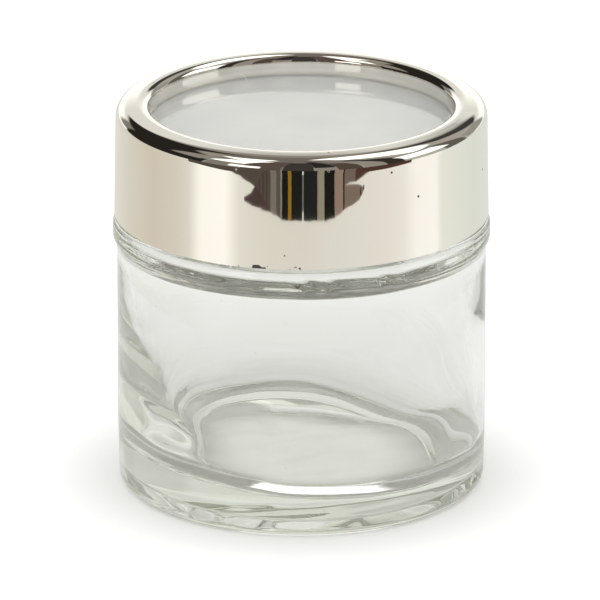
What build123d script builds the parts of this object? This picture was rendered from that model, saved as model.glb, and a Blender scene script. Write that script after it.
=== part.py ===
from build123d import *
import math
import os

# Small clear glass jar with a screw lid: a metallised ring with a clear window in its top.
# Millimetres, +Z up, origin at the middle of the base where the jar stands.
# Radii are measured from the jar's own axis.

# Jar, outside
jar_height = 41.45          # base to the sealing rim
body_radius = 22.15         # straight part of the wall
heel_draw_in = 0.15         # how much slimmer the wall is where it meets the heel
draw_in_height = 8.0        # the wall is straight above this
heel_rounding = 1.3
push_up_height = 0.7        # the underside is hollow by this much
bearing_width = 3.6         # flat ring that the jar stands on
bead_stand_out = 0.53       # glass bead under the lid, beyond the body wall
bead_height = 4.2
bead_ramp = 1.5             # height over which the bead swells out of the wall
bead_rounding = 1.0

# Jar, inside
upper_wall = 1.55           # thickness of the glass below the shoulder
lower_wall = 3.1            # thickness of the glass above the base
base_thickness = 3.4
floor_rounding = 4.3
shoulder_drop = 6.5         # rim of the shoulder, down to where the inside narrows
neck_wall = 2.0
neck_inside_drop = 2.0      # bead top, down to where the neck's bore starts
rim_rounding = 0.7

# Neck and screw thread
shoulder_step = 3.35        # neck wall, in from the body wall
thread_pitch = 4.233
thread_depth = 1.1
thread_width = 2.2          # at the root of the glass ridge
thread_crest = 0.9          # at its crest
thread_turns = 1.15
rim_land = 0.75             # plain glass between the rim and the thread
thread_foot = 0.33          # plain glass between the thread and the bead
thread_bite = 0.3           # how far a ridge is sunk in the wall that carries it
fade_sink = 0.05            # a fading end dips this far under the neck's surface

# Threaded insert, pressed into the lid
thread_clearance = 0.25     # radial, crest to root, on both ridges
insert_wall = 1.0
insert_thread_width = 1.5
insert_thread_crest = 0.6
insert_thread_turns = 1.0
insert_flange = 1.2         # ring that carries the window and backs the seal
insert_slip = 0.05          # radial, insert in shell
insert_top_gap = 0.25       # insert to the roof of the lip's hollow

# Sealing ring
seal_thickness = 1.0
seal_inside_margin = 0.5    # wider inside than the neck's bore
seal_outside_margin = 0.2   # slimmer than the insert's bore

# Window
window_thickness = 1.2
window_slip = 0.1           # radial, window in the insert
opening_step = 0.7          # opening of the lid, in from the neck wall

# Lid shell
shell_wall = 1.0
skirt_draft = 0.25          # the skirt is wider at its lower edge by this much
skirt_gap = 0.3             # lower edge of the skirt to the glass bead
skirt_edge_rounding = 0.2
recess_depth = 2.55         # top of the lip down to the window
lip_wall = 1.15
lip_crown_width = 1.4       # top of the lip, in from the opening's wall
lip_crown_drop = 0.3        # the shoulder sits lower than the top of the lip
lip_inner_rounding = 1.0
lip_outer_rounding = 1.6
catch_depth = 0.3           # bead inside the skirt that holds the insert in
catch_height = 0.5

# Sizes that follow from the ones above
bead_radius = body_radius + bead_stand_out
neck_radius = body_radius - shoulder_step
mouth_radius = neck_radius - neck_wall
thread_crest_radius = neck_radius + thread_depth
thread_span = thread_pitch * thread_turns
bead_top = jar_height - rim_land - thread_width - thread_span - thread_foot
bead_foot = bead_top - bead_height
thread_start = bead_top + thread_foot + thread_width / 2
heel_radius = body_radius - heel_draw_in

insert_bore = thread_crest_radius + thread_clearance
insert_thread_radius = neck_radius + thread_clearance
insert_radius = insert_bore + insert_wall
shell_bore = insert_radius + insert_slip
shell_radius = shell_bore + shell_wall
skirt_radius = shell_radius + skirt_draft
opening_radius = neck_radius - opening_step

skirt_bottom = bead_top + skirt_gap
insert_bottom = skirt_bottom + catch_height
seal_top = jar_height + seal_thickness
window_bottom = seal_top + insert_flange
window_top = window_bottom + window_thickness
lid_top = window_top + recess_depth
lip_roof = lid_top - lip_wall
insert_top = lip_roof - lip_crown_drop - insert_top_gap


def turned(corners):
    """A solid turned about +Z from (radius, height, rounding) corners of half its section."""
    points = [(radius, height) for radius, height, _ in corners]
    roundings = [rounding for _, _, rounding in corners]
    outline = Plane.XZ * FilletPolyline(*points, radius=roundings, close=True)
    return revolve(make_face(outline), Axis.Z)


def ridge(root_radius, crest_radius, root_width, crest_width, start_height, turns):
    """A right-hand screw ridge of tapered section, starting over +X at start_height."""
    path = Helix(thread_pitch, thread_pitch * turns, root_radius, center=(0, 0, start_height))
    depth = crest_radius - root_radius
    bite = math.copysign(thread_bite, -depth)
    section_plane = Plane(origin=path @ 0, x_dir=(1, 0, 0), z_dir=path % 0)
    section = section_plane * make_face(
        Polyline(
            (bite, -root_width / 2),
            (0, -root_width / 2),
            (depth, -crest_width / 2),
            (depth, crest_width / 2),
            (0, root_width / 2),
            (bite, root_width / 2),
            close=True,
        )
    )
    return sweep(section, path=path, is_frenet=True)


def at_turn(turns, radius, height):
    """A place on the thread's cylinder, this many turns round from +X."""
    return Rot(0, 0, 360 * turns) * Pos(radius, 0, height)


def glass_thread():
    """The jar's ridge, its two ends fading into the neck along upright flats."""
    thread = ridge(
        neck_radius, thread_crest_radius, thread_width, thread_crest, thread_start, thread_turns
    )
    flat_size = (4 * thread_depth, 2 * neck_radius, thread_pitch)
    flat = Box(*flat_size, align=(Align.MIN, Align.CENTER, Align.CENTER))
    for turns in (0, thread_turns):
        height = thread_start + thread_pitch * turns
        thread -= at_turn(turns, neck_radius - fade_sink, height) * flat
    return thread


def insert_thread(first_turn):
    """The insert's ridge, half a pitch away from the jar's, its ends fading into the bore."""
    start_height = thread_start - thread_pitch / 2 + thread_pitch * first_turn
    thread = ridge(
        insert_bore, insert_thread_radius, insert_thread_width, insert_thread_crest,
        start_height, insert_thread_turns,
    )
    fade_radius = insert_bore * 0.4
    fade = Cylinder(fade_radius, thread_pitch)
    for turns in (0, insert_thread_turns):
        height = start_height + thread_pitch * turns
        thread -= at_turn(turns, insert_bore - fade_radius, height) * fade
    return Rot(0, 0, 360 * first_turn) * thread


def glass_jar():
    bearing_inner = heel_radius - heel_rounding - bearing_width
    cavity_top = bead_top - neck_inside_drop
    cavity_shoulder = bead_top - shoulder_drop
    body = turned([
        (0, push_up_height, 0),
        (bearing_inner - 3 * push_up_height, push_up_height, 3),
        (bearing_inner, 0, 1),
        (heel_radius, 0, heel_rounding),
        (body_radius, draw_in_height, 40),
        (body_radius, bead_foot, 0.8),
        (bead_radius, bead_foot + bead_ramp, 1.5),
        (bead_radius, bead_top, bead_rounding),
        (neck_radius, bead_top, 0.3),
        (neck_radius, jar_height, rim_rounding),
        (mouth_radius, jar_height, rim_rounding),
        (mouth_radius, cavity_top, 3),
        (body_radius - upper_wall, cavity_shoulder, 3),
        (body_radius - lower_wall, base_thickness, floor_rounding),
        (0, base_thickness, 0),
    ])
    return body + glass_thread()


def lid_shell():
    lip_inside = opening_radius + lip_wall
    return turned([
        (opening_radius, window_top, 0.15),
        (opening_radius, lid_top - 0.1, lip_inner_rounding),
        (opening_radius + lip_crown_width, lid_top, 3),
        (shell_radius, lid_top - lip_crown_drop, lip_outer_rounding),
        (skirt_radius, skirt_bottom, skirt_edge_rounding),
        (shell_bore - catch_depth, skirt_bottom, 0.1),
        (shell_bore - catch_depth, insert_bottom, 0),
        (shell_bore, insert_bottom, 0),
        (shell_bore, lip_roof - lip_crown_drop, 0.6),
        (lip_inside, lip_roof, 0.4),
        (lip_inside, window_top, 0.15),
    ])


def threaded_insert():
    window_seat = insert_bore
    body = turned([
        (insert_bore, insert_bottom, 0.2),
        (insert_radius, insert_bottom, 0.2),
        (insert_radius, insert_top, 0.2),
        (window_seat, insert_top, 0.2),
        (window_seat, window_bottom, 0),
        (opening_radius, window_bottom, 0.2),
        (opening_radius, seal_top, 0.2),
        (insert_bore, seal_top, 0),
    ])
    return body + insert_thread(0.65)


def window_disc():
    radius = insert_bore - window_slip
    return turned([
        (0, window_bottom, 0),
        (radius, window_bottom, 0.15),
        (radius, window_top, 0.15),
        (0, window_top, 0),
    ])


def sealing_ring():
    return turned([
        (mouth_radius + seal_inside_margin, jar_height, 0.15),
        (insert_bore - seal_outside_margin, jar_height, 0.15),
        (insert_bore - seal_outside_margin, seal_top, 0.15),
        (mouth_radius + seal_inside_margin, seal_top, 0.15),
    ])


pieces = {
    "glass_jar": glass_jar(),
    "sealing_ring": sealing_ring(),
    "threaded_insert": threaded_insert(),
    "window_disc": window_disc(),
    "lid_shell": lid_shell(),
}

os.makedirs("parts", exist_ok=True)
for name, solid in pieces.items():
    export_step(solid, f"parts/{name}.step")
    print(f"{name}: {solid.volume:.1f} cubic mm")
print(f"lid lifts {thread_pitch / (2 * math.pi):.5f} mm for each radian of turn")
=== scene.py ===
import bpy
import math
import numpy as np
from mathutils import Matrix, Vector


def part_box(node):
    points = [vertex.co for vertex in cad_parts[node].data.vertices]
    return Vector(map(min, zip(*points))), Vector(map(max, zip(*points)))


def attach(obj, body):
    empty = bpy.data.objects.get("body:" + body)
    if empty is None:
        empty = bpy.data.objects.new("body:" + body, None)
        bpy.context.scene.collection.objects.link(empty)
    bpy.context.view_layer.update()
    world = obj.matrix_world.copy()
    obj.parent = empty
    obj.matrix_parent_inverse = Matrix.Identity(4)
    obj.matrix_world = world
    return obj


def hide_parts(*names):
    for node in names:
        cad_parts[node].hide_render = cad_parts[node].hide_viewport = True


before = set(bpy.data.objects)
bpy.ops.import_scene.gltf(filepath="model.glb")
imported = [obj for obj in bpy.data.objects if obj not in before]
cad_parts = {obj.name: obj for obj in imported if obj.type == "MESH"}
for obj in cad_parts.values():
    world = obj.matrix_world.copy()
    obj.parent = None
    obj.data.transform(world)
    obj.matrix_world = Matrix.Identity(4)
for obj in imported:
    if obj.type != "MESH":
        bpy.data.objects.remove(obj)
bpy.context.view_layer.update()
print("frame loaded:", sorted(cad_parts))

mm = 0.001
scene = bpy.context.scene
scene.view_settings.view_transform = "Standard"
scene.view_settings.look = "None"
scene.cycles.max_bounces = 32            # light crosses many glass surfaces before it leaves the jar
scene.cycles.transmission_bounces = 32
scene.cycles.glossy_bounces = 32

# Heights and radii of the CAD nodes, in millimetres.
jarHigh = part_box("glass_jar")[1] / mm
sealLow, sealHigh = [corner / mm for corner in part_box("sealing_ring")]
insertLow, insertHigh = [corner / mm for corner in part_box("threaded_insert")]
windowLow, windowHigh = [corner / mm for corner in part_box("window_disc")]
shellLow, shellHigh = [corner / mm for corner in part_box("lid_shell")]


arcStep = 0.16        # most radians between points on a rounded corner
mergeShare = 0.12     # points nearer than this share of the spacing become one


def roundedOutline(corners, closed, spacing):
    # Straight runs between the corners, each corner replaced by an arc of its own radius,
    # then divided so that no step along the line is longer than the spacing.
    points = np.array([corner[:2] for corner in corners], float)
    roundings = [corner[2] for corner in corners]
    count = len(points)
    runs = []
    for i in range(count):
        here = points[i]
        atEnd = not closed and i in (0, count - 1)
        if atEnd or roundings[i] == 0:
            runs.append(here[None])
            continue
        before = points[i - 1] - here
        after = points[(i + 1) % count] - here
        before /= np.linalg.norm(before)
        after /= np.linalg.norm(after)
        inside = math.acos(float(np.clip(before @ after, -1, 1)))
        middle = (before + after) / np.linalg.norm(before + after)
        centre = here + middle * roundings[i] / math.sin(inside / 2)
        start = here + before * roundings[i] / math.tan(inside / 2) - centre
        turn = math.pi - inside
        side = math.copysign(1, before[1] * after[0] - before[0] * after[1])
        steps = max(4, math.ceil(turn / arcStep))
        angle = math.atan2(start[1], start[0]) + side * np.linspace(0, turn, steps + 1)
        runs.append(centre + roundings[i] * np.stack([np.cos(angle), np.sin(angle)], 1))
    line = np.concatenate(runs + ([runs[0][:1]] if closed else []))
    along = np.concatenate([[0], np.cumsum(np.linalg.norm(np.diff(line, axis=0), axis=1))])
    keep = np.concatenate([[True], np.diff(along) > 1e-6])
    line, along = line[keep], along[keep]
    even = np.linspace(0, along[-1], math.ceil(along[-1] / spacing) + 1)
    stops = np.sort(np.concatenate([along, even]))
    stops = stops[np.concatenate([[True], np.diff(stops) > spacing * mergeShare])]
    stops[-1] = along[-1]
    return np.stack([np.interp(stops, along, line[:, k]) for k in (0, 1)], 1)


def surfaceMesh(name, grid, poles=False, ring=False):
    # A grid of points becomes quads: columns run round the axis and close on themselves,
    # rows run along the outline, which closes too on a ring or ends in two poles.
    rows, columns = grid.shape[:2]
    if poles:
        body = grid[1:-1].reshape(-1, 3)
        points = np.concatenate([grid[0, :1], body, grid[-1, :1]])
        first, rows = 1, rows - 2
    else:
        points, first = grid.reshape(-1, 3), 0
    around = np.arange(columns)
    nextAround = (around + 1) % columns
    low = np.arange(rows if ring else rows - 1)
    high = (low + 1) % rows
    quads = np.stack([
        first + low[:, None] * columns + around,
        first + low[:, None] * columns + nextAround,
        first + high[:, None] * columns + nextAround,
        first + high[:, None] * columns + around,
    ], -1).reshape(-1, 4)
    triangles = np.zeros((0, 3), int)
    if poles:
        last = len(points) - 1
        lastRow = first + (rows - 1) * columns
        triangles = np.concatenate([
            np.stack([np.zeros(columns, int), first + nextAround, first + around], 1),
            np.stack([np.full(columns, last), lastRow + around, lastRow + nextAround], 1),
        ])
    corners = points[quads]
    volume = np.einsum("ij,ij->i", corners[:, 0], np.cross(corners[:, 1], corners[:, 2])).sum()
    volume += np.einsum("ij,ij->i", corners[:, 0], np.cross(corners[:, 2], corners[:, 3])).sum()
    if volume < 0:
        quads, triangles = quads[:, ::-1], triangles[:, ::-1]
    loops = np.concatenate([quads.ravel(), triangles.ravel()]).astype(np.int32)
    totals = np.concatenate([np.full(len(quads), 4), np.full(len(triangles), 3)])
    starts = np.concatenate([[0], np.cumsum(totals)[:-1]])
    mesh = bpy.data.meshes.new(name)
    mesh.vertices.add(len(points))
    mesh.vertices.foreach_set("co", (points * mm).astype(np.float32).ravel())
    mesh.loops.add(len(loops))
    mesh.loops.foreach_set("vertex_index", loops)
    mesh.polygons.add(len(totals))
    mesh.polygons.foreach_set("loop_start", starts.astype(np.int32))
    mesh.polygons.foreach_set("loop_total", totals.astype(np.int32))
    mesh.polygons.foreach_set("use_smooth", np.ones(len(totals), bool))
    mesh.update(calc_edges=True)
    mesh.validate()
    mesh.set_sharp_from_angle(angle=math.radians(40))
    piece = bpy.data.objects.new(name, mesh)
    scene.collection.objects.link(piece)
    print(f"{name}: {len(quads) * 2 + len(triangles)} triangles")
    return piece


def spun(outline, columns):
    # The outline's radius and height, repeated at even angles round the axis.
    angle = np.linspace(0, 2 * math.pi, columns, endpoint=False)
    radius = np.repeat(outline[:, :1], columns, axis=1)
    height = np.repeat(outline[:, 1:], columns, axis=1)
    return radius, height, np.broadcast_to(angle, radius.shape)


def places(radius, height, angle):
    # Points of a turned surface: x = r cos a, y = r sin a, z = height.
    return np.stack([radius * np.cos(angle), radius * np.sin(angle), height], -1)


def frontAngle(angle):
    # The same angle measured from the front, growing to the right, from -pi to pi.
    return (angle + math.pi / 2 + math.pi) % (2 * math.pi) - math.pi


def smoothStep(value, start, end):
    # 0 before the start, 1 past the end, and 3 t squared less 2 t cubed between them.
    t = np.clip((value - start) / (end - start), 0, 1)
    return t * t * (3 - 2 * t)


def screwRidge(angle, height, thread, rootRadius):
    # The ridge is a trapezium on the distance from the nearest turn of a helix whose height
    # is start + pitch * turns; near an end its height is held to a parabola of the way there.
    ridge = np.zeros_like(height)
    for lap in range(3):
        turns = angle / (2 * math.pi) + lap
        away = np.abs(height - thread["start"] - thread["pitch"] * turns)
        slope = (thread["root"] / 2 - away) / ((thread["root"] - thread["crest"]) / 2)
        raised = thread["depth"] * smoothStep(slope, 0, 1)
        toEnd = np.minimum(turns - thread["from"], thread["from"] + thread["turns"] - turns)
        reach = np.clip(toEnd, 0, thread["fadeTurns"]) * 2 * math.pi
        cap = 0.5 * rootRadius * reach ** 2 * thread["fade"]
        ridge = np.maximum(ridge, np.where(toEnd > 0, np.minimum(raised, cap), 0))
    return ridge


jar = {
    "bodyRadius": jarHigh.x - 0.53,
    "heelDrawIn": 0.15,
    "heelRounding": 1.3,
    "heelHeight": 8,
    "heelSweep": 40,             # radius of the soft bend from the heel to the straight wall
    "bearingWidth": 3.6,
    "pushUp": 0.7,
    "beadDrop": 8.15,            # rim down to the top of the bead
    "beadHeight": 3.35,
    "beadSlope": 1.1,
    "beadRounding": 1.0,
    "beadWaver": 0.035,
    "shearDepth": 0.11,
    "neckStep": 3.35,
    "neckWall": 2.0,
    "rimRounding": 0.7,
    "upperWall": 1.55,
    "lowerWall": 3.1,
    "shoulderDrop": (2.0, 6.5),  # inner shoulder, down from the top of the bead
    "shoulderRounding": 3,
    "shoulderLift": 3.0,
    "shoulderDip": 0.4,          # the lift is less over a stretch at the front
    "floorHeight": 3.4,
    "floorRounding": 4.3,
    "edgeDrawIn": 0.3,
    "lean": 1.45,
    "columns": 300,
    "spacing": 0.5,
}
glassThread = {
    "pitch": 4.233, "turns": 1.15, "from": 0, "depth": 1.1, "root": 2.2, "crest": 0.9,
    "fade": 1.0, "fadeTurns": 0.2,
    "start": jarHigh.z - jar["beadDrop"] + 1.43,
}


def cavityShift(height):
    # The hollow leans: sideways by the lean at the floor, falling to 0 by a smooth step of height.
    return jar["lean"] * (1 - smoothStep(height, 4, 22))


def floorWaves(x, y):
    # The settled glass, in millimetres: a tilt, products of sines of x and y for long and short
    # waves, and three soft humps or hollows that fall as exp of minus the distance squared.
    waves = -0.035 * x
    waves += 0.10 * np.sin(0.30 * x + 0.9) * np.cos(0.22 * y - 0.4)
    waves += 0.06 * np.sin(0.42 * y + 0.2 * x + 1.7)
    waves += 0.03 * np.sin(0.95 * x - 0.5 * y + 0.6) * np.sin(0.75 * y + 0.35 * x)
    waves += 1.20 * np.exp(-((x + 1) ** 2 + (y - 16) ** 2) / 60)
    waves -= 0.35 * np.exp(-((x - 10) ** 2 + (y - 8) ** 2) / 26)
    waves += 0.30 * np.exp(-((x - 3) ** 2 + (y + 9) ** 2) / 9)
    return waves


def edgeWaves(angle):
    # The rounding between floor and wall isn't even: three sines of the angle, in millimetres.
    waves = 0.20 * np.sin(3 * angle + 0.4)
    waves += 0.10 * np.sin(7 * angle + 1.9)
    waves += 0.03 * np.sin(13 * angle - 0.6)
    return waves


def shearMarks(angle, height):
    # Chill ripples where the gob was cut: crossed sines of angle and height, from 0 to 1,
    # strong over one stretch at the front and faint elsewhere.
    fromFront = frontAngle(angle)
    stretch = smoothStep(fromFront, -0.12, 0.0) * (1 - smoothStep(fromFront, 0.42, 0.60))
    ripples = np.sin(41 * angle + 2.3 * height + 1.4 * np.sin(17 * angle))
    ripples *= np.sin(2.9 * height - 12 * angle)
    return (0.5 + 0.5 * ripples) * (0.12 + 0.88 * stretch)


def makeJar():
    # Two outlines turned round the axis. Outside, the radius gains the screw ridge on the neck and
    # loses the waver and the shear marks on the bead. Inside, the height gains the shoulder's lift
    # and the floor's waves, the radius gains the edge's waves, and x gains the lean of the hollow.
    body, rim = jar["bodyRadius"], jarHigh.z
    beadTop = rim - jar["beadDrop"]
    beadFoot = beadTop - jar["beadHeight"]
    neck = body - jar["neckStep"]
    mouth = neck - jar["neckWall"]
    heel = body - jar["heelDrawIn"]
    middleOfRim = (neck + mouth) / 2
    shoulderTop, shoulderFoot = [beadTop - drop for drop in jar["shoulderDrop"]]
    bearing = heel - jar["heelRounding"] - jar["bearingWidth"]
    outside = roundedOutline([
        (0, jar["pushUp"], 0),
        (bearing - 3 * jar["pushUp"], jar["pushUp"], 3),
        (bearing, 0, 1),
        (heel, 0, jar["heelRounding"]),
        (body, jar["heelHeight"], jar["heelSweep"]),
        (body, beadFoot, 0.8),
        (jarHigh.x, beadFoot + jar["beadSlope"], jar["beadRounding"]),
        (jarHigh.x, beadTop, jar["beadRounding"]),
        (neck, beadTop, 0.3),
        (neck, rim, jar["rimRounding"]),
        (middleOfRim, rim, 0),
    ], False, jar["spacing"])
    inside = roundedOutline([
        (middleOfRim, rim, 0),
        (mouth, rim, jar["rimRounding"]),
        (mouth, shoulderTop, jar["shoulderRounding"]),
        (body - jar["upperWall"], shoulderFoot, jar["shoulderRounding"]),
        (body - jar["lowerWall"], jar["floorHeight"], jar["floorRounding"]),
        (0, jar["floorHeight"], 0),
    ], False, jar["spacing"])[1:]

    radius, height, angle = spun(outside, jar["columns"])
    onNeck = smoothStep(height, beadTop + 0.1, beadTop + 0.3)
    radius = radius + onNeck * screwRidge(angle, height, glassThread, neck)
    onBead = smoothStep(height, beadFoot, beadFoot + 1)
    onBead *= 1 - smoothStep(height, beadTop - 0.6, beadTop)
    waver = 1 + np.sin(5 * angle + 1.1 * height) * np.sin(3 * angle - 0.7)
    radius -= onBead * jar["beadWaver"] * waver
    radius -= onBead * jar["shearDepth"] * shearMarks(angle, height)
    outer = places(radius, height, angle)

    radius, height, angle = spun(inside, jar["columns"])
    fromFront = frontAngle(angle)
    atFront = smoothStep(fromFront, -0.10, 0.05) * (1 - smoothStep(fromFront, 0.5, 0.7))
    lift = jar["shoulderLift"] - jar["shoulderDip"] * atFront
    height = height + lift * smoothStep(height, 23, 27) * (1 - smoothStep(height, 32.5, 39))
    onEdge = smoothStep(radius, 10, 15) * (1 - smoothStep(height, 7, 14))
    radius = radius + onEdge * (edgeWaves(angle) - jar["edgeDrawIn"])
    shift = cavityShift(height)
    x, y = radius * np.cos(angle) + shift, radius * np.sin(angle)
    height = height + (1 - smoothStep(height, 4, 13)) * floorWaves(x, y)
    inner = np.stack([x, y, height], -1)
    inner[-1] = inner[-1].mean(axis=0)
    return surfaceMesh("jarGlass", np.concatenate([outer, inner]), poles=True)


shell = {
    "skirtRadius": shellHigh.x,
    "shoulderRadius": jar["bodyRadius"] + 0.05,
    "wall": 1.0,
    "recess": 2.55,
    "lipWall": 1.15,
    "crownWidth": 1.4,
    "crownDrop": 0.3,
    "innerRounding": 1.0,
    "outerRounding": 1.6,
    "catchDepth": 0.3,
    "catchHeight": 0.5,
    "openingRadius": 18.1,
    "columns": 360,
    "spacing": 0.5,
}


def makeShell():
    # The cross-section of the ring, turned round the axis: skirt with a catch inside its foot,
    # rounded shoulder, crown, and lip down to the window.
    skirt, low = shell["skirtRadius"], shellLow.z
    shoulder = shell["shoulderRadius"]
    bore = shoulder - shell["wall"]
    opening = shell["openingRadius"]
    inside = opening + shell["lipWall"]
    top = windowHigh.z + shell["recess"]
    roof = top - shell["lipWall"]
    catch = bore - shell["catchDepth"]
    catchTop = low + shell["catchHeight"]
    outline = roundedOutline([
        (opening, windowHigh.z, 0.15),
        (opening, top - 0.1, shell["innerRounding"]),
        (opening + shell["crownWidth"], top, 3),
        (shoulder, top - shell["crownDrop"], shell["outerRounding"]),
        (skirt, low, 0.2),
        (catch, low, 0.1),
        (catch, catchTop, 0),
        (bore, catchTop, 0),
        (bore, roof - shell["crownDrop"], 0.6),
        (inside, roof, 0.4),
        (inside, windowHigh.z, 0.15),
    ], True, shell["spacing"])[:-1]
    radius, height, angle = spun(outline, shell["columns"])
    return surfaceMesh("lidShell", places(radius, height, angle), ring=True)


insert = {"wall": 1.0, "columns": 256, "spacing": 0.45}
insertRidge = {
    "pitch": glassThread["pitch"], "turns": 1.0, "from": 0.65, "depth": 1.1, "root": 1.5, "crest": 0.6,
    "fade": 1.5, "fadeTurns": 0.2,
    "start": glassThread["start"] - glassThread["pitch"] / 2,
}


def makeInsert():
    # A tube with a flange under the window and a rim round it, turned round the axis; in the bore
    # the radius loses the screw ridge.
    outerRadius = insertHigh.x
    bore = outerRadius - insert["wall"]
    opening = shell["openingRadius"]
    outline = roundedOutline([
        (bore, insertLow.z, 0.2),
        (outerRadius, insertLow.z, 0.2),
        (outerRadius, insertHigh.z, 0.2),
        (bore, insertHigh.z, 0.2),
        (bore, windowLow.z, 0),
        (opening, windowLow.z, 0.2),
        (opening, sealHigh.z, 0.2),
        (bore, sealHigh.z, 0),
    ], True, insert["spacing"])[:-1]
    radius, height, angle = spun(outline, insert["columns"])
    inBore = (radius < bore + 0.1) & (height < sealHigh.z - 0.3)
    radius = radius - inBore * screwRidge(angle, height, insertRidge, bore)
    return surfaceMesh("threadedInsert", places(radius, height, angle), ring=True)


window = {"rounding": 0.15, "columns": 192, "spacing": 0.6}


def makeWindow():
    # Half the disc's cross-section, with rounded edges, turned round the axis and closed at it.
    outline = roundedOutline([
        (0, windowLow.z, 0),
        (windowHigh.x, windowLow.z, window["rounding"]),
        (windowHigh.x, windowHigh.z, window["rounding"]),
        (0, windowHigh.z, 0),
    ], False, window["spacing"])
    radius, height, angle = spun(outline, window["columns"])
    return surfaceMesh("windowDisc", places(radius, height, angle), poles=True)


seal = {"insideRadius": 17.3, "rounding": 0.15, "columns": 192, "spacing": 0.3}


def makeSeal():
    # A flat cross-section with rounded corners, turned round the axis.
    outline = roundedOutline([
        (seal["insideRadius"], sealLow.z, seal["rounding"]),
        (sealHigh.x, sealLow.z, seal["rounding"]),
        (sealHigh.x, sealHigh.z, seal["rounding"]),
        (seal["insideRadius"], sealHigh.z, seal["rounding"]),
    ], True, seal["spacing"])[:-1]
    radius, height, angle = spun(outline, seal["columns"])
    return surfaceMesh("sealingRing", places(radius, height, angle), ring=True)


def newMaterial(name):
    # A material whose tree holds nothing but its output.
    material = bpy.data.materials.new(name)
    material.use_nodes = True
    tree = material.node_tree
    tree.nodes.clear()
    output = tree.nodes.new("ShaderNodeOutputMaterial")
    return material, tree, output


def addNode(tree, kind, inputs=None, **settings):
    # A node with its settings, then the values of its inputs.
    node = tree.nodes.new(kind)
    for name, value in settings.items():
        setattr(node, name, value)
    for name, value in (inputs or {}).items():
        node.inputs[name].default_value = value
    return node


def calc(tree, operation, *values):
    # One Math node; each value is a number or another node's socket.
    node = addNode(tree, "ShaderNodeMath", operation=operation)
    for socket, value in zip(node.inputs, values):
        feed(tree, value, socket)
    return node.outputs[0]


def feed(tree, value, socket):
    # A socket is linked on, anything else becomes the value.
    if isinstance(value, bpy.types.NodeSocket):
        tree.links.new(value, socket)
    else:
        socket.default_value = value


def ramp(tree, value, start, end, low=0.0, high=1.0):
    # Smooth step of the value: low at the start, high at the end, held beyond them.
    node = addNode(tree, "ShaderNodeMapRange", interpolation_type="SMOOTHSTEP")
    names = ("Value", "From Min", "From Max", "To Min", "To Max")
    for name, given in zip(names, (value, start, end, low, high)):
        feed(tree, given, node.inputs[name])
    return node.outputs[0]


def blendColour(tree, amount, first, second):
    # First colour at amount 0, second at 1; each is three numbers or another node's socket.
    node = addNode(tree, "ShaderNodeMix", data_type="RGBA")
    feed(tree, amount, node.inputs["Factor"])
    for name, shade in (("A", first), ("B", second)):
        feed(tree, shade if isinstance(shade, bpy.types.NodeSocket) else (*shade, 1), node.inputs[name])
    return node.outputs["Result"]


def newGroup(name, numbers):
    # A shader node group that takes a place on the surface and some numbers, and gives one value.
    group = bpy.data.node_groups.new(name, "ShaderNodeTree")
    group.interface.new_socket("Place", in_out="INPUT", socket_type="NodeSocketVector")
    for number in numbers:
        group.interface.new_socket(number, in_out="INPUT", socket_type="NodeSocketFloat")
    group.interface.new_socket("Value", in_out="OUTPUT", socket_type="NodeSocketFloat")
    given, result = group.nodes.new("NodeGroupInput"), group.nodes.new("NodeGroupOutput")
    return group, given.outputs, result.inputs["Value"]


def makeMottle():
    # Mottle: octaves of noise, pushed away from the middle value by the contrast, held to 0..1.
    group, given, value = newGroup("mottle", ["Scale", "Detail", "Contrast"])
    noise = addNode(group, "ShaderNodeTexNoise")
    group.links.new(given["Place"], noise.inputs["Vector"])
    group.links.new(given["Scale"], noise.inputs["Scale"])
    group.links.new(given["Detail"], noise.inputs["Detail"])
    away = calc(group, "SUBTRACT", noise.outputs["Fac"], 0.5)
    spread = calc(group, "MULTIPLY_ADD", away, given["Contrast"], 0.5)
    held = addNode(group, "ShaderNodeClamp")
    group.links.new(spread, held.inputs["Value"])
    group.links.new(held.outputs[0], value)
    return group


def makePits():
    # Pits: space is cut into cells round scattered points; in a share of the cells the value is 1
    # near the point and falls to 0 at the size, both in cell widths.
    group, given, value = newGroup("sparsePits", ["Scale", "Share", "Size"])
    cells = addNode(group, "ShaderNodeTexVoronoi")
    group.links.new(given["Place"], cells.inputs["Vector"])
    group.links.new(given["Scale"], cells.inputs["Scale"])
    draw = addNode(group, "ShaderNodeSeparateColor")
    group.links.new(cells.outputs["Color"], draw.inputs[0])
    chosen = calc(group, "LESS_THAN", draw.outputs["Red"], given["Share"])
    core = calc(group, "MULTIPLY", given["Size"], 0.5)
    near = ramp(group, cells.outputs["Distance"], given["Size"], core)
    group.links.new(calc(group, "MULTIPLY", chosen, near), value)
    return group


def makeHairlines():
    # Hairlines: the value is 1 where a bent, stretched noise is within the width of its middle
    # level, and only where a coarse noise is above 1 minus the cover.
    group, given, value = newGroup("hairlines", ["Scale", "Width", "Cover"])
    stretch = addNode(group, "ShaderNodeVectorMath", {1: (1.0, 0.16, 0.45)}, operation="MULTIPLY")
    group.links.new(given["Place"], stretch.inputs[0])
    lines = addNode(group, "ShaderNodeTexNoise", {"Detail": 1.0, "Distortion": 0.6})
    group.links.new(stretch.outputs[0], lines.inputs["Vector"])
    group.links.new(given["Scale"], lines.inputs["Scale"])
    away = calc(group, "ABSOLUTE", calc(group, "SUBTRACT", lines.outputs["Fac"], 0.5))
    onLine = ramp(group, away, given["Width"], 0.0)
    patches = addNode(group, "ShaderNodeTexNoise", {"Detail": 1.0})
    group.links.new(given["Place"], patches.inputs["Vector"])
    group.links.new(calc(group, "MULTIPLY", given["Scale"], 0.6), patches.inputs["Scale"])
    bare = calc(group, "SUBTRACT", 1.0, given["Cover"])
    inPatch = ramp(group, patches.outputs["Fac"], bare, calc(group, "ADD", bare, 0.06))
    group.links.new(calc(group, "MULTIPLY", onLine, inPatch), value)
    return group


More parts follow.
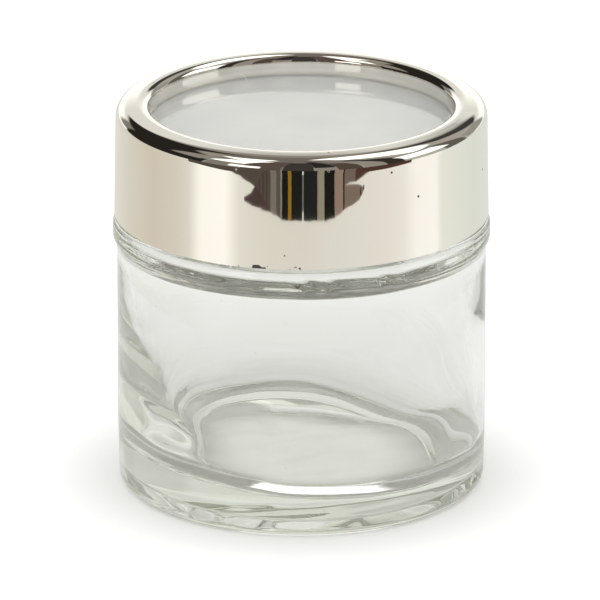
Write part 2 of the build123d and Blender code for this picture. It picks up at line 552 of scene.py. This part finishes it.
mottle, sparsePits, hairlines = makeMottle(), makePits(), makeHairlines()


def pattern(tree, group, place, numbers):
    node = addNode(tree, "ShaderNodeGroup", numbers, node_tree=group)
    tree.links.new(place, node.inputs["Place"])
    return node.outputs["Value"]


def onSurface(tree):
    # The place on the piece in metres, which turns and lifts with it.
    return addNode(tree, "ShaderNodeTexCoord").outputs["Object"]


def bumped(tree, body, height):
    # The height is in millimetres.
    bump = addNode(tree, "ShaderNodeBump", {"Strength": 1.0, "Distance": mm})
    tree.links.new(height, bump.inputs["Height"])
    tree.links.new(bump.outputs[0], body.inputs["Normal"])


def openToShadows(tree, output, body, shade):
    # Light that casts shadows passes straight through, tinted by the shade.
    through = addNode(tree, "ShaderNodeBsdfTransparent", {"Color": (*shade, 1)})
    rays = addNode(tree, "ShaderNodeLightPath")
    mix = addNode(tree, "ShaderNodeMixShader")
    tree.links.new(rays.outputs["Is Shadow Ray"], mix.inputs["Fac"])
    tree.links.new(body.outputs[0], mix.inputs[1])
    tree.links.new(through.outputs[0], mix.inputs[2])
    tree.links.new(mix.outputs[0], output.inputs["Surface"])


glassLook = {
    "clean": (0.985, 0.987, 0.977),
    "greyer": (0.968, 0.972, 0.957),
    "dust": (0.62, 0.61, 0.56),
    "inside": (0.76, 0.79, 0.69),
    "density": 18.0,
    "ior": 1.52,
    "shadow": (0.945, 0.95, 0.935),
    "clouds": {"Scale": 110, "Detail": 2, "Contrast": 1.6},
    "specks": {"Scale": 420, "Share": 0.30, "Size": 0.045},
    "marks": {"Scale": 90, "Width": 0.0015, "Cover": 0.42},
    "peel": {"Scale": 520, "Detail": 1, "Contrast": 1.0},
    "roughness": 0.002,
    "markRoughness": 0.06,
    "dustRoughness": 0.4,
    "rolls": 0.008,             # heights in millimetres
    "orangePeel": 0.0008,
    "markDepth": 0.0006,
}


def clearGlass():
    # Colour: clean to greyer by the mottle, dust in the pits. Roughness: 0.002, up to 0.06 on
    # hairlines and 0.4 on dust. Height: broad rolls plus a fine orange peel, less the hairlines.
    material, tree, output = newMaterial("clear glass")
    body = addNode(tree, "ShaderNodeBsdfPrincipled", {"IOR": glassLook["ior"], "Transmission Weight": 1.0})
    tint = addNode(tree, "ShaderNodeVolumeAbsorption",
                   {"Color": (*glassLook["inside"], 1), "Density": glassLook["density"]})
    place = onSurface(tree)
    clouds = pattern(tree, mottle, place, glassLook["clouds"])
    specks = pattern(tree, sparsePits, place, glassLook["specks"])
    marks = pattern(tree, hairlines, place, glassLook["marks"])
    shade = blendColour(tree, clouds, glassLook["clean"], glassLook["greyer"])
    tree.links.new(blendColour(tree, specks, shade, glassLook["dust"]), body.inputs["Base Color"])
    rough = calc(tree, "MULTIPLY_ADD", marks, glassLook["markRoughness"], glassLook["roughness"])
    rough = calc(tree, "MULTIPLY_ADD", specks, glassLook["dustRoughness"], rough)
    tree.links.new(rough, body.inputs["Roughness"])
    peel = pattern(tree, mottle, place, glassLook["peel"])
    height = calc(tree, "MULTIPLY", clouds, glassLook["rolls"])
    height = calc(tree, "MULTIPLY_ADD", peel, glassLook["orangePeel"], height)
    bumped(tree, body, calc(tree, "MULTIPLY_ADD", marks, -glassLook["markDepth"], height))
    openToShadows(tree, output, body, glassLook["shadow"])
    tree.links.new(tint.outputs[0], output.inputs["Volume"])
    return material


windowLook = {
    "clear": (0.935, 0.94, 0.915),
    "cloudy": (0.865, 0.872, 0.852),
    "scratched": (0.99, 0.99, 0.98),
    "scratchAmount": 0.6,
    "dust": (0.5, 0.49, 0.45),
    "ior": 1.45,
    "clearness": 0.42,
    "shadow": (0.96, 0.965, 0.955),
    "clouds": {"Scale": 95, "Detail": 3, "Contrast": 2.6},
    "marks": {"Scale": 70, "Width": 0.003, "Cover": 0.50},
    "specks": {"Scale": 380, "Share": 0.35, "Size": 0.05},
    "roughness": 0.04,
    "cloudRoughness": 0.05,
    "markRoughness": 0.25,
    "markDepth": 0.0015,        # in millimetres
}


def windowPlastic():
    # Colour: clear to cloudy by the mottle, paler on hairlines, dust in the pits. Roughness: its
    # own value, more where it is cloudy and on hairlines. Height: hairlines cut in.
    material, tree, output = newMaterial("window plastic")
    body = addNode(tree, "ShaderNodeBsdfPrincipled",
                   {"IOR": windowLook["ior"], "Transmission Weight": windowLook["clearness"]})
    place = onSurface(tree)
    clouds = pattern(tree, mottle, place, windowLook["clouds"])
    marks = pattern(tree, hairlines, place, windowLook["marks"])
    specks = pattern(tree, sparsePits, place, windowLook["specks"])
    shade = blendColour(tree, clouds, windowLook["clear"], windowLook["cloudy"])
    scratches = calc(tree, "MULTIPLY", marks, windowLook["scratchAmount"])
    shade = blendColour(tree, scratches, shade, windowLook["scratched"])
    tree.links.new(blendColour(tree, specks, shade, windowLook["dust"]), body.inputs["Base Color"])
    rough = calc(tree, "MULTIPLY_ADD", clouds, windowLook["cloudRoughness"], windowLook["roughness"])
    rough = calc(tree, "MULTIPLY_ADD", marks, windowLook["markRoughness"], rough)
    tree.links.new(rough, body.inputs["Roughness"])
    bumped(tree, body, calc(tree, "MULTIPLY", marks, -windowLook["markDepth"]))
    openToShadows(tree, output, body, windowLook["shadow"])
    return material


skinLook = {
    "silver": (0.94, 0.925, 0.875),
    "warmer": (0.925, 0.895, 0.83),
    "bare": (0.055, 0.042, 0.034),        # dark plastic under the metal
    "clouds": {"Scale": 80, "Detail": 3, "Contrast": 2.0},
    "pits": {"Scale": 380, "Share": 0.28, "Size": 0.075},
    "marks": {"Scale": 120, "Width": 0.0016, "Cover": 0.45},
    "flakes": {"Scale": 900, "Detail": 2, "Contrast": 2.5},
    "peel": {"Scale": 330, "Detail": 2, "Contrast": 1.0},
    "chipLevel": (0.42, 0.50),            # flakes above this are gone
    "chipPlace": (-3.6 * mm, -22.4 * mm),
    "chipReach": (5.5 * mm, 2.5 * mm),
    "edgeBand": 1.1 * mm,
    "roughness": 0.02,
    "cloudRoughness": 0.02,
    "markRoughness": 0.10,
    "bareRoughness": 0.45,
    "orangePeel": 0.004,                  # heights in millimetres
    "pitDepth": 0.03,
}


def metallisedSkin():
    # Bare places: sparse pits, and chips where a fine mottle is high, near the skirt's lower edge
    # and by the chipped place. Colour: silver to warmer by the mottle, then bare. Metallic: 1, and 0
    # where bare. Roughness: its own value plus mottle, hairlines and bare places. Height: orange
    # peel less the bare places.
    material, tree, output = newMaterial("metallised skin")
    body = addNode(tree, "ShaderNodeBsdfPrincipled")
    place = onSurface(tree)
    clouds = pattern(tree, mottle, place, skinLook["clouds"])
    pits = pattern(tree, sparsePits, place, skinLook["pits"])
    marks = pattern(tree, hairlines, place, skinLook["marks"])
    flakes = pattern(tree, mottle, place, skinLook["flakes"])
    parts = addNode(tree, "ShaderNodeSeparateXYZ")
    tree.links.new(place, parts.inputs[0])
    low, band = shellLow.z * mm, skinLook["edgeBand"]
    atEdge = ramp(tree, parts.outputs["Z"], low + band, low + 0.3 * band)
    across = calc(tree, "SUBTRACT", parts.outputs["X"], skinLook["chipPlace"][0])
    along = calc(tree, "SUBTRACT", parts.outputs["Y"], skinLook["chipPlace"][1])
    squares = calc(tree, "ADD", calc(tree, "POWER", across, 2.0), calc(tree, "POWER", along, 2.0))
    chipped = ramp(tree, calc(tree, "SQRT", squares), *skinLook["chipReach"])
    chips = calc(tree, "MULTIPLY", flakes, calc(tree, "MULTIPLY", atEdge, chipped))
    chips = ramp(tree, chips, *skinLook["chipLevel"])
    bare = calc(tree, "MAXIMUM", pits, chips)
    shade = blendColour(tree, clouds, skinLook["silver"], skinLook["warmer"])
    tree.links.new(blendColour(tree, bare, shade, skinLook["bare"]), body.inputs["Base Color"])
    tree.links.new(calc(tree, "SUBTRACT", 1.0, bare), body.inputs["Metallic"])
    rough = calc(tree, "MULTIPLY_ADD", clouds, skinLook["cloudRoughness"], skinLook["roughness"])
    rough = calc(tree, "MULTIPLY_ADD", marks, skinLook["markRoughness"], rough)
    rough = calc(tree, "MULTIPLY_ADD", bare, skinLook["bareRoughness"], rough)
    tree.links.new(rough, body.inputs["Roughness"])
    peel = pattern(tree, mottle, place, skinLook["peel"])
    height = calc(tree, "MULTIPLY", peel, skinLook["orangePeel"])
    bumped(tree, body, calc(tree, "MULTIPLY_ADD", bare, -skinLook["pitDepth"], height))
    tree.links.new(body.outputs[0], output.inputs["Surface"])
    return material


def moulded(name, look):
    # Colour: first to second by the mottle. Roughness: its own value, more where the grain is
    # high. Height: fine grain from the tool that shaped it.
    material, tree, output = newMaterial(name)
    body = addNode(tree, "ShaderNodeBsdfPrincipled")
    place = onSurface(tree)
    clouds = pattern(tree, mottle, place, look["clouds"])
    grain = pattern(tree, mottle, place, look["grain"])
    tree.links.new(blendColour(tree, clouds, look["first"], look["second"]), body.inputs["Base Color"])
    rough = calc(tree, "MULTIPLY_ADD", grain, look["grainRoughness"], look["roughness"])
    tree.links.new(rough, body.inputs["Roughness"])
    bumped(tree, body, calc(tree, "MULTIPLY", grain, look["grainDepth"]))
    tree.links.new(body.outputs[0], output.inputs["Surface"])
    return material


plasticLook = {
    "first": (0.92, 0.92, 0.885),
    "second": (0.88, 0.88, 0.84),
    "clouds": {"Scale": 140, "Detail": 3, "Contrast": 2.0},
    "grain": {"Scale": 2200, "Detail": 2, "Contrast": 1.8},
    "roughness": 0.30,
    "grainRoughness": 0.12,
    "grainDepth": 0.004,        # in millimetres
}
sealLook = {
    "first": (0.85, 0.85, 0.83),
    "second": (0.80, 0.80, 0.775),
    "clouds": {"Scale": 220, "Detail": 3, "Contrast": 2.0},
    "grain": {"Scale": 3800, "Detail": 2, "Contrast": 1.8},
    "roughness": 0.48,
    "grainRoughness": 0.12,
    "grainDepth": 0.010,
}


def naturalPlastic():
    return moulded("natural plastic", plasticLook)


def softSeal():
    return moulded("soft seal", sealLook)


# How each piece is made and finished, and the CAD node, body and slot that it stands for.
pieceList = [
    (makeJar, clearGlass, "glass_jar", "jar", "clear_glass"),
    (makeSeal, softSeal, "sealing_ring", "seal", "soft_seal"),
    (makeInsert, naturalPlastic, "threaded_insert", "lid", "natural_plastic"),
    (makeWindow, windowPlastic, "window_disc", "lid", "clear_plastic"),
    (makeShell, metallisedSkin, "lid_shell", "lid", "metallised_plastic"),
]
for make, finish, node, body, slotName in pieceList:
    piece = make()
    piece.data.materials.append(finish())
    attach(piece, body)
    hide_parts(node)
print("pieces made")


def emitter(name, colour):
    # A surface that only shines, in one colour or, without one, in its mesh's own shades.
    material, tree, output = newMaterial(name)
    glow = addNode(tree, "ShaderNodeEmission", {"Strength": 1.0})
    if colour is None:
        shade = addNode(tree, "ShaderNodeAttribute", attribute_name="shade")
        tree.links.new(shade.outputs["Color"], glow.inputs["Color"])
    else:
        glow.inputs["Color"].default_value = (*colour, 1)
    tree.links.new(glow.outputs[0], output.inputs["Surface"])
    return material


def stageMesh(name, points, faces, material, reflectedOnly):
    # A card that is only reflected is hidden from every other kind of ray.
    mesh = bpy.data.meshes.new(name)
    mesh.from_pydata(points, [], faces)
    card = bpy.data.objects.new(name, mesh)
    scene.collection.objects.link(card)
    mesh.materials.append(material)
    if reflectedOnly:
        card.visible_camera = False
        card.visible_diffuse = False
        card.visible_shadow = False
        card.visible_transmission = False
    return card


tablePaper = {
    "shade": (0.90, 0.90, 0.895),
    "glowWithPaintedShade": (0.12, 0.26),     # camera-only glow near the jar and away from it; less near the jar, a painted shade round its foot
    "paintedShadeEdge": (21 * mm, 33 * mm),
    "paintedLightPool": 0.36,               # painted pool of light, for the light that the jar gathers on the paper under it
    "paintedLightPoolEdge": (17.0 * mm, 8.0 * mm),
    "arc": 1.0,                 # and a painted bright arc of gathered light under the front of the heel
    "arcEdge": (16.4 * mm, 17.2 * mm),
    "arcEnd": (21.5 * mm, 20.5 * mm),
    "arcSides": (-7.9 * mm, -6.6 * mm, 9.0 * mm, 11.5 * mm),
    "half": 3.0,
}


def makeFloor():
    # White paper with painted light and shade: a glow that only the camera sees, as in a bright exposure,
    # made weaker near the jar to paint shade round its foot, plus a painted pool of light that fades with
    # the distance from the axis, plus a painted bright arc by distance and side.
    material, tree, output = newMaterial("table paper")
    paper = addNode(tree, "ShaderNodeBsdfDiffuse", {"Color": (*tablePaper["shade"], 1)})
    glow = addNode(tree, "ShaderNodeEmission", {"Color": (1, 1, 0.985, 1)})
    rays = addNode(tree, "ShaderNodeLightPath")
    place = onSurface(tree)
    parts = addNode(tree, "ShaderNodeSeparateXYZ")
    away = addNode(tree, "ShaderNodeVectorMath", operation="LENGTH")
    tree.links.new(place, parts.inputs[0])
    tree.links.new(place, away.inputs[0])
    distance, side = away.outputs["Value"], parts.outputs["X"]
    # Painted shade: the camera-only glow is weaker near the jar, which darkens the paper round its foot.
    glowWithPaintedShade = ramp(tree, distance, *tablePaper["paintedShadeEdge"], *tablePaper["glowWithPaintedShade"])
    glowWithPaintedShade = calc(tree, "MULTIPLY", rays.outputs["Is Camera Ray"], glowWithPaintedShade)
    # Painted pool of light on the paper under the jar, strongest at the axis.
    paintedLightPool = ramp(tree, distance, *tablePaper["paintedLightPoolEdge"], 0.0, tablePaper["paintedLightPool"])
    # Painted bright arc of light on the paper under the front of the heel.
    left, leftFull, rightFull, right = tablePaper["arcSides"]
    band = calc(tree, "MULTIPLY", ramp(tree, distance, *tablePaper["arcEdge"]),
                ramp(tree, distance, *tablePaper["arcEnd"]))
    sides = calc(tree, "MULTIPLY", ramp(tree, side, left, leftFull), ramp(tree, side, right, rightFull))
    front = calc(tree, "LESS_THAN", parts.outputs["Y"], 0.0)
    arc = calc(tree, "MULTIPLY", calc(tree, "MULTIPLY", band, sides),
               calc(tree, "MULTIPLY", front, tablePaper["arc"]))
    tree.links.new(calc(tree, "ADD", glowWithPaintedShade, calc(tree, "ADD", paintedLightPool, arc)), glow.inputs["Strength"])
    total = addNode(tree, "ShaderNodeAddShader")
    tree.links.new(paper.outputs[0], total.inputs[0])
    tree.links.new(glow.outputs[0], total.inputs[1])
    tree.links.new(total.outputs[0], output.inputs["Surface"])
    half = tablePaper["half"]
    stageMesh("tablePaper", [(-half, -half, 0), (half, -half, 0), (half, half, 0), (-half, half, 0)],
              [(0, 1, 2, 3)], material, False)


paleCard = {
    # A card ring standing on the table, which only reflections meet: the wall of the lid
    # looks down on it. Azimuth in degrees from the front, to the right, and its colour there.
    "radius": 0.090,
    "high": 0.046,
    "shades": [
        (-180, (0.76, 0.78, 0.74)),
        (-140, (0.76, 0.74, 0.68)),
        (-112, (0.70, 0.66, 0.58)),
        (-92, (0.66, 0.60, 0.52)),
        (-74, (0.69, 0.65, 0.57)),
        (-65, (0.74, 0.71, 0.64)),
        (-57, (1.03, 1.01, 0.95)),
        (-42, (1.06, 1.03, 0.97)),
        (-34, (0.80, 0.78, 0.71)),
        (-28, (0.76, 0.74, 0.67)),
        (-18, (0.74, 0.71, 0.64)),
        (0, (0.73, 0.70, 0.64)),
        (22, (0.75, 0.74, 0.68)),
        (46, (0.81, 0.77, 0.72)),
        (58, (0.86, 0.84, 0.79)),
        (66, (1.00, 0.97, 0.93)),
        (81, (1.02, 1.00, 0.96)),
        (85, (0.82, 0.83, 0.77)),
        (120, (0.74, 0.76, 0.72)),
        (180, (0.76, 0.78, 0.74)),
    ],
}

darkCards = {
    # The camera stand and what lies behind it: for each card the azimuths across it, the
    # heights of its lower and upper edges there in millimetres, and its colour.
    "radius": 0.0885,
    "top": 50,
    "cards": {
        "bandLeft": ((-64, -43, -28, -23, -16.4), (31, 25.9, 24.5, 23.7, 20.9), None,
                     (0.085, 0.07, 0.055)),
        "wingLeft": ((-31, -27, -22, -16.4), (22.1, 21.7, 21.3, 20.9), (22.5, 23.3, 25, 50),
                     (0.07, 0.045, 0.042)),
        "postLeft": ((-16.6, -13.4), (20.9, 20.6), None, (0.19, 0.16, 0.135)),
        "edgeLeft": ((-13.4, -11.2), (20.6, 20.2), None, (0.10, 0.085, 0.07)),
        "lineLeft": ((-11.2, -10.4), (20.2, 20.1), None, (0.24, 0.23, 0.20)),
        "darkLeft": ((-10.4, -7.2), (20.1, 20.0), None, (0.012, 0.011, 0.009)),
        "amber": ((-7.2, -5.4), (20.0, 20.0), None, (0.27, 0.15, 0.015)),
        "darkMiddle": ((-5.4, 0.4), (20.0, 20.1), None, (0.013, 0.013, 0.012)),
        "streak": ((0.4, 1.1), (21.2, 21.2), (27.5, 27.5), (0.17, 0.17, 0.18)),
        "darkRight": ((1.1, 8.4), (20.1, 20.0), None, (0.016, 0.017, 0.016)),
        "postMiddle": ((8.4, 9.6), (20.0, 20.0), None, (0.30, 0.23, 0.17)),
        "paleMiddle": ((9.6, 12.1), (20.0, 20.0), None, (0.27, 0.26, 0.19)),
        "darkPost": ((12.1, 17.6), (19.9, 20.2), None, (0.012, 0.011, 0.009)),
        "paleRight": ((17.6, 22.2), (20.2, 20.9), None, (0.28, 0.20, 0.155)),
        "lineRight": ((22.2, 23.0), (20.9, 21.1), None, (0.025, 0.015, 0.01)),
        "wingRight": ((23.0, 29.6, 33.6), (21.1, 21.8, 23.2), (24.4, 24.2, 23.7), (0.20, 0.15, 0.115)),
        "tipRight": ((31.0, 34.0), (22.2, 23.4), (23.6, 23.9), (0.045, 0.03, 0.02)),
        "blockRight": ((23.0, 29.0), (24.4, 24.6), None, (0.16, 0.125, 0.10)),
        "bandRight": ((29.0, 47, 62), (24.6, 26.6, 30), None, (0.08, 0.04, 0.03)),
    },
}


def arcPoints(radius, azimuths, lows, highs):
    # Two rows of points on an upright cylinder, lower edge first, a point every two degrees.
    steps = max(2, math.ceil((azimuths[-1] - azimuths[0]) / 2))
    across = np.linspace(azimuths[0], azimuths[-1], steps + 1)
    x, y = radius * np.sin(np.radians(across)), -radius * np.cos(np.radians(across))
    rows = [np.stack([x, y, np.interp(across, azimuths, heights)], 1) for heights in (lows, highs)]
    faces = [(i, i + 1, i + steps + 2, i + steps + 1) for i in range(steps)]
    return across, np.concatenate(rows).tolist(), faces


def makeCards():
    # The pale ring's shades are blended between its stops; each dark card stands just inside it.
    azimuths = [stop[0] for stop in paleCard["shades"]]
    across, points, faces = arcPoints(paleCard["radius"], azimuths, [0] * len(azimuths),
                                      [paleCard["high"]] * len(azimuths))
    card = stageMesh("paleCard", points, faces, emitter("pale card", None), True)
    shades = card.data.attributes.new("shade", "FLOAT_COLOR", "POINT")
    levels = [np.interp(across, azimuths, [stop[1][k] for stop in paleCard["shades"]]) for k in range(3)]
    row = np.stack([*levels, np.ones_like(across)], 1)
    shades.data.foreach_set("color", np.concatenate([row, row]).astype(np.float32).ravel())
    for name, (azimuths, lows, highs, colour) in darkCards["cards"].items():
        highs = highs or [darkCards["top"]] * len(azimuths)
        across, points, faces = arcPoints(darkCards["radius"], azimuths, np.multiply(lows, mm),
                                          np.multiply(highs, mm))
        stageMesh(name, points, faces, emitter(name, colour), True)


studioRoom = {
    # What stands round the table above its edge, by azimuth and elevation in degrees.
    "plain": (1, 1, 0.995),
    "fill": 1.03,
    "open": (0.76, 0.75, 0.705),
    "veil": 0.78,                # how far the panels fade for light that comes through the glass
    "veilShade": (0.79, 0.795, 0.755),
    "overhead": (44, 62, 1.5),   # the veil brightens between these elevations, by this much
    "panels": [
        # azimuth, elevation, softness of the azimuth and elevation edges, colour
        ((-200, 200), (31, 100), 3, 5, (0.27, 0.245, 0.21)),
        ((-200, 200), (48, 100), 3, 16, (0.17, 0.15, 0.13)),
        ((-200, -132), (-6, 17), 6, 5, (1.15, 1.14, 1.10)),
        ((132, 200), (-6, 17), 6, 5, (1.15, 1.14, 1.10)),
        ((-150, -128), (4, 24), 8, 6, (0.22, 0.21, 0.19)),
        ((-167, -92), (22, 57), 4, 4, (0.02, 0.017, 0.014)),
        ((-134, -62), (0, 30), 4, 5, (0.02, 0.017, 0.014)),
        ((-92, -68), (24, 58), 3, 4, (0.27, 0.25, 0.215)),
        ((-140, -90), (57, 66), 6, 4, (0.31, 0.29, 0.25)),
        ((-114, -68), (66, 82), 5, 3, (1.6, 1.58, 1.52)),
        ((-66, -40), (38, 74), 2, 4, (1.6, 1.58, 1.52)),
        ((-62, -38), (2, 36), 2, 4, (0.22, 0.20, 0.17)),
        ((-38, -12), (-10, 76), 2, 6, (0.10, 0.075, 0.062)),
        ((-12, 8), (-10, 72), 1.5, 3, (0.045, 0.04, 0.036)),
        ((8, 22), (-10, 26), 1.5, 5, (0.26, 0.23, 0.20)),
        ((8, 22), (26, 80), 1.5, 5, (0.025, 0.022, 0.02)),
        ((22, 38), (-10, 58), 1.5, 6, (0.085, 0.06, 0.048)),
        ((38, 53), (-10, 80), 2, 6, (0.29, 0.265, 0.23)),
        ((53, 70), (-10, 72), 2, 5, (0.035, 0.029, 0.024)),
        ((66, 98), (-2, 18), 2, 5, (0.45, 0.44, 0.40)),
        ((72, 98), (34, 72), 3, 5, (0.36, 0.34, 0.30)),
        ((97, 170), (48, 79), 8, 4, (1.6, 1.59, 1.54)),
        ((98, 120), (0, 42), 3, 4, (0.12, 0.11, 0.095)),
        ((67, 104), (16, 40), 2, 3, (1.5, 1.49, 1.44)),
        ((-46, -26), (13, 26), 2, 2, (1.4, 1.38, 1.33)),
        ((118, 150), (26, 47), 3, 4, (0.38, 0.36, 0.32)),
        ((148, 174), (22, 44), 6, 3, (0.05, 0.045, 0.04)),
        ((120, 150), (2, 26), 6, 6, (0.30, 0.29, 0.26)),
    ],
}


def between(tree, value, start, end, edge):
    # 1 between the start and the end, with a smooth step as wide as the edge at each of them.
    past = calc(tree, "DIVIDE", calc(tree, "SUBTRACT", value, start), edge)
    short = calc(tree, "DIVIDE", calc(tree, "SUBTRACT", end, value), edge)
    return calc(tree, "MULTIPLY", ramp(tree, past, -0.5, 0.5), ramp(tree, short, -0.5, 0.5))


panelNumbers = ["Left", "Right", "Low", "High", "Azimuth Edge", "Elevation Edge"]


def makePanelGroup():
    # Mask of one panel: between its sides in azimuth times between its heights in elevation.
    group = bpy.data.node_groups.new("studioPanel", "ShaderNodeTree")
    for name in ["Azimuth", "Elevation", *panelNumbers]:
        group.interface.new_socket(name, in_out="INPUT", socket_type="NodeSocketFloat")
    group.interface.new_socket("Mask", in_out="OUTPUT", socket_type="NodeSocketFloat")
    given = group.nodes.new("NodeGroupInput").outputs
    result = group.nodes.new("NodeGroupOutput")
    across = between(group, given["Azimuth"], given["Left"], given["Right"], given["Azimuth Edge"])
    upright = between(group, given["Elevation"], given["Low"], given["High"], given["Elevation Edge"])
    group.links.new(calc(group, "MULTIPLY", across, upright), result.inputs["Mask"])
    return group


def makeWorld():
    # A direction has an azimuth, atan2 of x and -y, and an elevation, asin of z. The panels are laid
    # over the open shade in turn, each by its mask. Light that comes through glass sees them
    # veiled; the camera and matt surfaces see plain white instead.
    world = bpy.data.worlds.new("studio")
    scene.world = world
    world.use_nodes = True
    tree = world.node_tree
    tree.nodes.clear()
    output = addNode(tree, "ShaderNodeOutputWorld")
    parts = addNode(tree, "ShaderNodeSeparateXYZ")
    tree.links.new(addNode(tree, "ShaderNodeTexCoord").outputs["Generated"], parts.inputs[0])
    toFront = calc(tree, "MULTIPLY", parts.outputs["Y"], -1.0)
    azimuth = calc(tree, "DEGREES", calc(tree, "ARCTAN2", parts.outputs["X"], toFront))
    elevation = calc(tree, "DEGREES", calc(tree, "ARCSINE", parts.outputs["Z"]))
    group = makePanelGroup()
    colour = studioRoom["open"]
    for sides, heights, sideEdge, heightEdge, shade in studioRoom["panels"]:
        numbers = dict(zip(panelNumbers, (*sides, *heights, sideEdge, heightEdge)))
        panel = addNode(tree, "ShaderNodeGroup", numbers, node_tree=group)
        tree.links.new(azimuth, panel.inputs["Azimuth"])
        tree.links.new(elevation, panel.inputs["Elevation"])
        colour = blendColour(tree, panel.outputs["Mask"], colour, shade)
    rays = addNode(tree, "ShaderNodeLightPath")
    veil = calc(tree, "MULTIPLY", rays.outputs["Is Transmission Ray"], studioRoom["veil"])
    lowEnd, highEnd, gain = studioRoom["overhead"]
    brighter = [channel * gain for channel in studioRoom["veilShade"]]
    lift = ramp(tree, elevation, lowEnd, highEnd)
    veilShade = blendColour(tree, lift, studioRoom["veilShade"], brighter)
    room = addNode(tree, "ShaderNodeBackground")
    tree.links.new(blendColour(tree, veil, colour, veilShade), room.inputs["Color"])
    plain = addNode(tree, "ShaderNodeBackground",
                    {"Color": (*studioRoom["plain"], 1), "Strength": studioRoom["fill"]})
    direct = calc(tree, "MAXIMUM", rays.outputs["Is Camera Ray"], rays.outputs["Is Diffuse Ray"])
    mix = addNode(tree, "ShaderNodeMixShader")
    tree.links.new(direct, mix.inputs["Fac"])
    tree.links.new(room.outputs[0], mix.inputs[1])
    tree.links.new(plain.outputs[0], mix.inputs[2])
    tree.links.new(mix.outputs[0], output.inputs["Surface"])


studioCamera = {
    "elevation": 19.257,        # degrees above the table
    "distance": 1.0548,
    "lens": 526.2,
    "sensor": 36,
    "aimX": -0.00018,
    "aimZ": 0.022244,
    "clip": (0.05, 20),
}


def makeCamera():
    # The camera stands at the front, at its distance from the aim along the line of its elevation.
    elevation = math.radians(studioCamera["elevation"])
    aim = Vector((studioCamera["aimX"], 0, studioCamera["aimZ"]))
    back = Vector((0, -math.cos(elevation), math.sin(elevation)))
    data = bpy.data.cameras.new("camera")
    data.sensor_width = studioCamera["sensor"]
    data.lens = studioCamera["lens"]
    data.clip_start, data.clip_end = studioCamera["clip"]
    camera = bpy.data.objects.new("camera", data)
    scene.collection.objects.link(camera)
    camera.location = aim + back * studioCamera["distance"]
    camera.rotation_euler = (math.pi / 2 - elevation, 0, 0)
    scene.camera = camera


makeFloor()
makeCards()
makeWorld()
makeCamera()
print("stage made")
